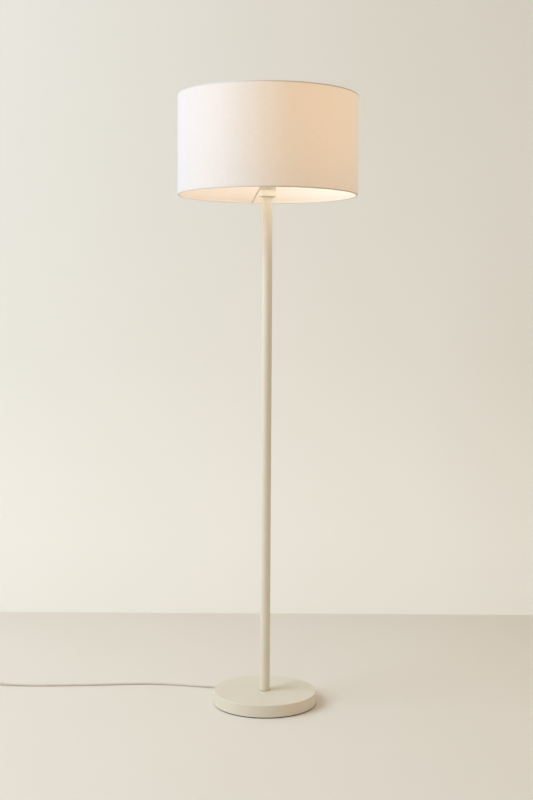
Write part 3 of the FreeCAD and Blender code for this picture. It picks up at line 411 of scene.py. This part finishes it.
def mixed(nodes, share, first, second, blend="MIX"):
    """Two colours mixed, with so large a share of the second."""
    mix = nodes.new("ShaderNodeMix")
    mix.data_type = "RGBA"
    mix.blend_type = blend
    for name, value in (("Factor", share), ("A", first), ("B", second)):
        feed(mix.inputs[name], value)
    return mix.outputs["Result"]


def apart(nodes, vector):
    """The three parts of a vector, by their names."""
    node = nodes.new("ShaderNodeSeparateXYZ")
    feed(node.inputs["Vector"], vector)
    return node.outputs


def greys(stops):
    return [(at, (strength, strength, strength, 1)) for at, strength in stops]


def woven_cloth(name, thread):
    """White plain weave with slubs; its warm glow is painted light in place of the bulb's light through
    its threads.
    Its pattern lies on the strip's own UV map, in metres round the drum and up it."""
    finish, nodes, shader = new_finish(name)
    strip = nodes.new("ShaderNodeUVMap")
    strip.uv_map = "strip"
    around_up = apart(nodes, strip.outputs["UV"])
    waves, slubs = [], []
    for way, stretch in (("X", (60, 900, 1)), ("Y", (900, 60, 1))):
        slub = nodes.new("ShaderNodeMapping")
        feed(slub.inputs["Scale"], stretch)
        feed(slub.inputs["Vector"], strip.outputs["UV"])
        slubs.append(noise(nodes, slub.outputs["Vector"], 1))
        turns = maths(nodes, "MULTIPLY", around_up[way], 2 * math.pi / thread)
        waves.append(maths(nodes, "SINE", turns))
    weave = maths(nodes, "MULTIPLY", *waves)
    relief = maths(nodes, "MULTIPLY_ADD", weave, 0.35, maths(nodes, "ADD", *slubs))
    white = graded(nodes, maths(nodes, "MULTIPLY", relief, 0.5),
                   ((0.35, card(213, 211, 211)), (0.8, card(225, 223, 223))))

    place = apart(nodes, nodes.new("ShaderNodeTexCoord").outputs["Object"])
    side = mapped(nodes, place["X"], -shade_radius, shade_radius)
    up = maths(nodes, "MULTIPLY", around_up["Y"], 1 / (shade_high - shade_low))
    depth_squared = maths(nodes, "MULTIPLY", place["Y"], place["Y"])
    radius = maths(nodes, "SQRT", maths(nodes, "MULTIPLY_ADD", place["X"], place["X"], depth_squared))
    outside = mapped(nodes, radius, lip + cloth_thick, middle - cloth_thick)
    rim_shade = graded(nodes, up, greys(rim_shade_lines))

    facing_in = mixed(nodes, outside, card(238, 231, 219), white)
    # painted shade: the outer faces of the hems turn brown, only on the right-hand side away from the
    # daylight
    outer_rim_shade = maths(nodes, "MULTIPLY", rim_shade, outside)
    painted_rim_shade = maths(nodes, "MULTIPLY", outer_rim_shade, mapped(nodes, side, 0.36, 0.6))
    feed(shader.inputs["Base Color"], mixed(nodes, painted_rim_shade, facing_in, card(196, 180, 158)))
    feed(shader.inputs["Normal"], dented(nodes, relief, 0.6, 0.00015))
    shader.inputs["Roughness"].default_value = 0.9
    shader.inputs["Specular IOR Level"].default_value = 0.25
    shader.inputs["Sheen Weight"].default_value = 0.08
    shader.inputs["Sheen Roughness"].default_value = 0.5

    # painted light: the cloth glows by itself, warm, dimmer on the left where the daylight falls and
    # lower at the foot
    painted_glow_colour = graded(nodes, side, [(at, (*colour, 1)) for at, colour in painted_glow_across])
    through = mixed(nodes, 1, painted_glow_colour, graded(nodes, up, greys(painted_glow_up)), "MULTIPLY")
    to_back = math.pi * shade_radius - lap_width / 2
    single = mapped(nodes, maths(nodes, "ABSOLUTE", around_up["X"]), to_back - 0.0002,
                    to_back + 0.0002, 1, 0.72)
    share = maths(nodes, "MULTIPLY", single, maths(nodes, "SUBTRACT", 1, rim_shade))
    lit = nodes.new("ShaderNodeVectorMath")
    lit.operation = "SCALE"
    feed(lit.inputs[0], through)
    feed(lit.inputs["Scale"], maths(nodes, "MULTIPLY", share, outside))
    feed(shader.inputs["Emission Color"], lit.outputs["Vector"])
    shader.inputs["Emission Strength"].default_value = 1.0
    return finish


def drum_strip(outline, around, rounds=()):
    """An open outline turned about the axis as one strip, with its own UV map in metres."""
    bm = spun(outline, around, closed=False)
    round_off(bm, rounds)
    bmesh.ops.recalc_face_normals(bm, faces=bm.faces[:])
    widest = max(bm.faces, key=lambda f: f.calc_area())
    if widest.normal.dot(widest.calc_center_median() * Vector((1, 1, 0))) < 0:
        bmesh.ops.reverse_faces(bm, faces=bm.faces[:])
    strip = bm.loops.layers.uv.new("strip")
    for face in bm.faces:
        centre = face.calc_center_median()
        here = math.atan2(centre.x, -centre.y)
        for loop in face.loops:
            turn = math.atan2(loop.vert.co.x, -loop.vert.co.y)
            turn += 2 * math.pi * round((here - turn) / (2 * math.pi))
            loop[strip].uv = (turn * shade_radius, loop.vert.co.z - shade_low)
    return bm


def thickened(piece, thick):
    """Gives a single layer of faces its thickness, half of it on either side."""
    wall = piece.modifiers.new("thickness", "SOLIDIFY")
    wall.thickness = thick
    wall.offset = 0
    return level_faces(piece)


cloth = drum_strip(
    [(lip, hem_low + lip_height), (lip, hem_low), (middle, hem_low), (middle, hem_high),
     (lip, hem_high), (lip, hem_high - lip_height)], 192,
    rounds=[(lip, hem_low, 0.0018), (middle, hem_low, 0.001), (middle, hem_high, 0.001),
            (lip, hem_high, 0.0018)])
shade_cloth = as_piece("shade_cloth", cloth, woven_cloth("white woven cloth", 0.0009), "shade",
                       ["shade_fabric"])
thickened(shade_cloth, cloth_thick)

# ---- Shade film ---------------------------------------------------------------------------
# The white film that the cloth is glued to. It makes the drum stiff, shows a light satin
# gloss inside, and is the brightest part of the lit shade.

film_radius, film_inset = shade_radius - 0.00085, 0.0009
film, nodes, shader = new_finish("shade film")
film_cloud = noise(nodes, nodes.new("ShaderNodeTexCoord").outputs["Object"], 40)
feed(shader.inputs["Base Color"],
     graded(nodes, film_cloud, ((0, card(238, 232, 221)), (1, card(243, 237, 227)))))
feed(shader.inputs["Roughness"], mapped(nodes, film_cloud, 0, 1, 0.38, 0.5))
lining = drum_strip([(film_radius, shade_low + film_inset), (film_radius, shade_high - film_inset)], 192)
thickened(as_piece("shade_film", lining, film, "shade", ["shade_liner"]), 0.0004)

# ---- Shade frame --------------------------------------------------------------------------
# Two wire rings inside the hems and three straight wires, welded to the lower ring and to a
# flat fitter ring with a collar, all coated white.

white_coat = grained("white wire coat", card(218, 208, 192), card(211, 201, 184), 0.02,
                     (0.3, 0.42), 0.0015, 0.00002)
dress("shade_bottom_ring", white_coat)
dress("shade_top_ring", white_coat)
ring_radius, ring_height = 0.22025, 1.28225
collar_radius, arm_top = 0.0263, 1.328
wire, weld = 0.0017, 0.0036     # a wire's radius and the length of its thicker, welded ends
arms = bmesh.new()
for number in range(3):
    turn = math.radians(100.8 + 120 * number)
    out = Vector((math.cos(turn), math.sin(turn), 0))
    foot = out * (ring_radius - 0.0012) + Vector((0, 0, ring_height + 0.0003))
    head = out * collar_radius + Vector((0, 0, arm_top))
    long = (head - foot).length
    along_arm = (head - foot).to_track_quat("Z", "Y").to_matrix().to_4x4()
    one = turned([(0, 0), (wire, 0), (wire * 1.35, 0.0006), (wire * 1.3, 0.0016), (wire, weld),
                  (wire, long - weld), (wire * 1.3, long - 0.0016), (wire * 1.35, long - 0.0006),
                  (wire, long), (0, long)], 16, place=Matrix.Translation(foot) @ along_arm)
    part = bpy.data.meshes.new("arm")
    one.to_mesh(part)
    one.free()
    arms.from_mesh(part)
    bpy.data.meshes.remove(part)
as_piece("spider_wires", arms, white_coat, "shade", ["spider_arms"])
fitter_bore, fitter_radius, rim_bore = 0.02015, 0.027, 0.0256
fitter_high, plate_top = 1.3305, 1.327
fitter = turned([(fitter_bore, flange_top), (fitter_radius, flange_top), (fitter_radius, fitter_high),
                 (rim_bore, fitter_high), (rim_bore, plate_top), (fitter_bore, plate_top)], 72,
                rounds=[(fitter_radius, flange_top, 0.0008), (fitter_radius, fitter_high, 0.0004),
                        (rim_bore, fitter_high, 0.0004), (fitter_bore, plate_top, 0.0003)])
level_faces(as_piece("fitter_ring", fitter, white_coat, "shade", ["spider_fitter"]))

# ---- Shade nut ----------------------------------------------------------------------------
# A white moulded ring nut with finger grips that screws down on the holder's thread and
# clamps the shade's fitter ring.

dress("shade_nut", moulding)

# ---- Bulb ---------------------------------------------------------------------------------
# A pear-shaped bulb with a screw cap: nickel-plated cap with a black insulator and a brass
# tip, a white housing that takes the heat, and an opal dome over the lit board.

nickel = grained("nickel plate", card(214, 211, 204), card(198, 195, 189), 0.006, (0.2, 0.34),
                 0.0008, 0.00001, 1.0)
dress("bulb_tip", brass)
dress("bulb_insulator", grained("black insulator", card(30, 29, 28), card(24, 23, 22), 0.004,
                                (0.15, 0.25), 0.0008, 0.00001))
dress("bulb_cap", nickel)
dress("bulb_housing", grained("bulb housing", card(236, 234, 228), card(231, 228, 221), 0.02,
                              (0.35, 0.45), 0.001, 0.00001))
dress("led_board", grained("white board", card(238, 238, 234), card(232, 232, 227), 0.01,
                           (0.4, 0.5), 0.001, 0.00001))
opal, nodes, shader = new_finish("lit opal dome")
opal_cloud = noise(nodes, nodes.new("ShaderNodeTexCoord").outputs["Object"], 60)
feed(shader.inputs["Emission Color"],
     graded(nodes, opal_cloud, ((0, card(255, 226, 186)), (1, card(255, 236, 204)))))
shader.inputs["Emission Strength"].default_value = 1.1
shader.inputs["Base Color"].default_value = card(150, 146, 138)
shader.inputs["Roughness"].default_value = 0.35
dress("bulb_globe", opal)


def place_light(name, kind, energy, colour, at, aim=None):
    """Puts up a light, turned towards the aim or else straight down."""
    light = bpy.data.lights.new(name, kind)
    light.energy = energy
    light.color = colour
    place = bpy.data.objects.new(name, light)
    place.location = at
    if aim is not None:
        place.rotation_mode = "QUATERNION"
        place.rotation_quaternion = (Vector(aim) - Vector(at)).to_track_quat("-Z", "Y")
    bpy.context.scene.collection.objects.link(place)
    return place


bulb_light = place_light("light of the bulb", "POINT", 0.56, (1.0, 0.81, 0.74), (0, 0, 1.392)).data
bulb_light.shadow_soft_size = 0.05
bulb_light.use_soft_falloff = False
under_light = place_light("light out of the shade", "AREA", 0.22, (1.0, 0.87, 0.8),
                          (0, 0, shade_low + 0.012))
under_light.data.shape = "DISK"
under_light.data.size = 0.3
under_light.visible_camera = False

# ---- Foot switch --------------------------------------------------------------------------
# A two-part cream moulding on the cord with a round button that is pressed with the foot.
# It is screwed together from below, and a steel spring lifts the button.

cream_plastic = grained("cream moulding", card(222, 214, 198), card(217, 209, 192), 0.02,
                        (0.32, 0.45), 0.0012, 0.00002)
button_plastic = grained("button moulding", card(226, 219, 204), card(221, 213, 198), 0.02,
                         (0.24, 0.34), 0.0012, 0.00001)
dress("switch_base", cream_plastic)
dress("switch_cover", cream_plastic)
dress("foot_button", button_plastic)
dress("switch_terminals", brass)
dress("switch_spring", zinc)

# ---- Mains lead ---------------------------------------------------------------------------
# A round two-core cord, 6 mm thick, that lies in loose curves on the floor from the base to
# the foot switch. The route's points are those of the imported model, in metres.


def cord_line(name, points, finish):
    """A round cord along control points of one smooth spline."""
    curve = bpy.data.curves.new(name, "CURVE")
    curve.dimensions = "3D"
    spline = curve.splines.new("NURBS")
    spline.points.add(len(points) - 1)
    for place, point in zip(spline.points, points):
        place.co = (*point, 1)
    spline.order_u = 3
    spline.use_endpoint_u = True
    spline.resolution_u = 12
    curve.bevel_depth = cord_radius
    curve.bevel_resolution = 6
    curve.use_fill_caps = True
    curve.materials.append(finish)
    line = bpy.data.objects.new(name, curve)
    bpy.context.scene.collection.objects.link(line)
    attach(line, "lamp")
    return line


cord_radius = 0.003
lies_at = 0.0031
boot_end = exit_way * boot_tip + Vector((0, 0, cable_height))
lead_route = [boot_end, boot_end + exit_way * 0.017, (-0.156, 0.1235, lies_at + 0.0006),
              (-0.2, 0.1335, lies_at), (-0.262, 0.1455, lies_at), (-0.336, 0.148, lies_at),
              (-0.42, 0.138, lies_at), (-0.505, 0.1305, lies_at), (-0.59, 0.126, lies_at),
              (-0.652, 0.127, lies_at), (-0.694, 0.1292, 0.0048), (-0.713, 0.13, 0.009),
              (-0.731, 0.13, 0.009)]
lead = cord_line("mains_cord", lead_route, sheath)
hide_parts("mains_lead")

# ---- Spare cord ---------------------------------------------------------------------------
# The length that isn't needed, wound in a flat coil beside the switch: inwards on the floor,
# up one layer and outwards again on top, with the plug lying in front of it.

coil_x, coil_y = -0.866, 0.087
coil_outer, coil_pitch = 0.043, 0.0065
turns_in, turns_out = 2.75, 2.5
reversal = turns_in * 2 * math.pi
per_turn = 16
bulge = 1 / (0.75 + 0.25 * math.cos(2 * math.pi / per_turn))    # the spline runs inside its points
coil_route = [(-0.813, 0.13, 0.009), (-0.819, 0.13, 0.009), (-0.84, 0.1305, 0.006)]
for step in range(1, round((turns_in + turns_out) * per_turn)):
    turn = 2 * math.pi * step / per_turn
    radius = bulge * (coil_outer + coil_pitch * (abs(turn - reversal) - reversal) / (2 * math.pi))
    share = min(max((turn - reversal) / math.pi + 0.5, 0), 1)
    height = lies_at + coil_pitch * (1 - math.cos(math.pi * share)) / 2
    angle = math.pi / 2 + turn
    coil_route.append((coil_x + radius * math.cos(angle), coil_y + radius * math.sin(angle), height))
coil_route += [(-0.9078, 0.087, 0.0096), (-0.9079, 0.064, 0.0096), (-0.9067, 0.048, 0.0069),
               (-0.906675, 0.035, 0.00685), (-0.906675, 0.029, 0.00685)]
coil = cord_line("spare_cord", coil_route, sheath)
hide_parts("cord_coil")

# ---- Plug ---------------------------------------------------------------------------------
# A flat two-pin plug, moulded on the cord with a tapered boot. Its nickel-plated pins are
# sleeved in dark plastic over half their length.

dress("plug_body", cream_plastic)
dress("plug_pins", nickel)
dress("pin_sleeves", grained("pin sleeve", card(52, 50, 48), card(44, 42, 41), 0.004, (0.4, 0.5),
                             0.0008, 0.00001))

# ---- Floor and backdrop -------------------------------------------------------------------
# Not part of the lamp: a plain pale floor that meets a plain pale wall behind it. The wall
# carries painted light, a little brighter low down, and it is clear when it is looked at from behind.


def plain_sheet(name, corners, finish):
    """A flat sheet of the surroundings."""
    bm = bmesh.new()
    bm.faces.new([bm.verts.new(c) for c in corners])
    mesh = bpy.data.meshes.new(name)
    bm.to_mesh(mesh)
    bm.free()
    mesh.materials.append(finish)
    ground = bpy.data.objects.new(name, mesh)
    bpy.context.scene.collection.objects.link(ground)
    ground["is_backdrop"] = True


def one_or_other(nodes, choice, first, second):
    """The first shader where the choice is 0 and the second where it is 1."""
    pick = nodes.new("ShaderNodeMixShader")
    for socket, value in zip(pick.inputs, (choice, first, second)):
        feed(socket, value)
    return pick.outputs["Shader"]


reach = 6                   # how far the floor goes on every side, and the wall up
wall_y = 0.95
painted_wall_light = ((0.12, 1), (0.22, 0.87), (0.42, 0.48), (0.7, 0.27), (1, 0.08))
floor_finish = grained("pale floor", card(228, 222, 211), card(227, 221, 210), 0.5, (0.75, 0.85),
                       0.01, 0.0)
plain_sheet("floor", [(-reach, -reach, 0), (reach, -reach, 0), (reach, reach, 0), (-reach, reach, 0)],
            floor_finish)
wall_finish, nodes, shader = new_finish("pale wall")
wall_place = apart(nodes, nodes.new("ShaderNodeTexCoord").outputs["Object"])
# painted light on the wall, brightest near the floor, seen only by the camera
feed(shader.inputs["Emission Color"],
     graded(nodes, mapped(nodes, wall_place["Z"], 0, 2),
            [(at, (strength, strength, strength * 0.97, 1)) for at, strength in painted_wall_light]))
looked_at = nodes.new("ShaderNodeLightPath").outputs["Is Camera Ray"]
feed(shader.inputs["Emission Strength"], maths(nodes, "MULTIPLY", looked_at, 0.15))
shader.inputs["Base Color"].default_value = card(231, 230, 222)
shader.inputs["Roughness"].default_value = 1
shader.inputs["Specular IOR Level"].default_value = 0
clear = nodes.new("ShaderNodeBsdfTransparent").outputs["BSDF"]
from_behind = nodes.new("ShaderNodeNewGeometry").outputs["Backfacing"]
feed(nodes["Material Output"].inputs["Surface"],
     one_or_other(nodes, from_behind, shader.outputs["BSDF"], clear))
plain_sheet("wall", [(-reach, wall_y, 0), (reach, wall_y, 0), (reach, wall_y, reach),
                     (-reach, wall_y, reach)], wall_finish)

# ---- Light and camera ---------------------------------------------------------------------
# Soft daylight from the left and a little from the front, an even fill all round, and the
# camera at the height and angle of the photograph.

world = bpy.data.worlds.new("studio")
bpy.context.scene.world = world
world.use_nodes = True
nodes = world.node_tree.nodes
fill = nodes["Background"]
fill.inputs["Color"].default_value = (1.0, 0.81, 0.63, 1)
fill.inputs["Strength"].default_value = 0.555
backdrop = nodes.new("ShaderNodeBackground")
backdrop.inputs["Color"].default_value = card(228, 224, 214)
seen = nodes.new("ShaderNodeLightPath").outputs["Is Camera Ray"]
feed(nodes["World Output"].inputs["Surface"],
     one_or_other(nodes, seen, fill.outputs["Background"], backdrop.outputs["Background"]))

for name, size, energy, colour, at in (
        ("window", 3.6, 180, (0.95, 1.15, 1.37), (-4.1, -1.7, 3.8)),
        ("far side of the room", 2, 9.5, (1.0, 0.97, 0.86), (3.4, 0.1, 1.3))):
    panel = place_light(name, "AREA", energy, colour, at, aim=(0, 0, 0.75)).data
    panel.shape = "RECTANGLE"
    panel.size = size
    panel.size_y = size

camera = bpy.data.cameras.new("camera")
camera.sensor_width = 36
camera.lens = 56.22
camera_place = bpy.data.objects.new("camera", camera)
looks_down, leans = 0.0683, 0.006       # radians
camera_place.matrix_world = (Matrix.Translation((0, -3.125, 0.98625))
                             @ Matrix.Rotation(math.pi / 2 - looks_down, 4, "X")
                             @ Matrix.Rotation(leans, 4, "Z"))
bpy.context.scene.collection.objects.link(camera_place)
bpy.context.scene.camera = camera_place
bpy.context.scene.view_settings.view_transform = "Standard"

low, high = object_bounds()
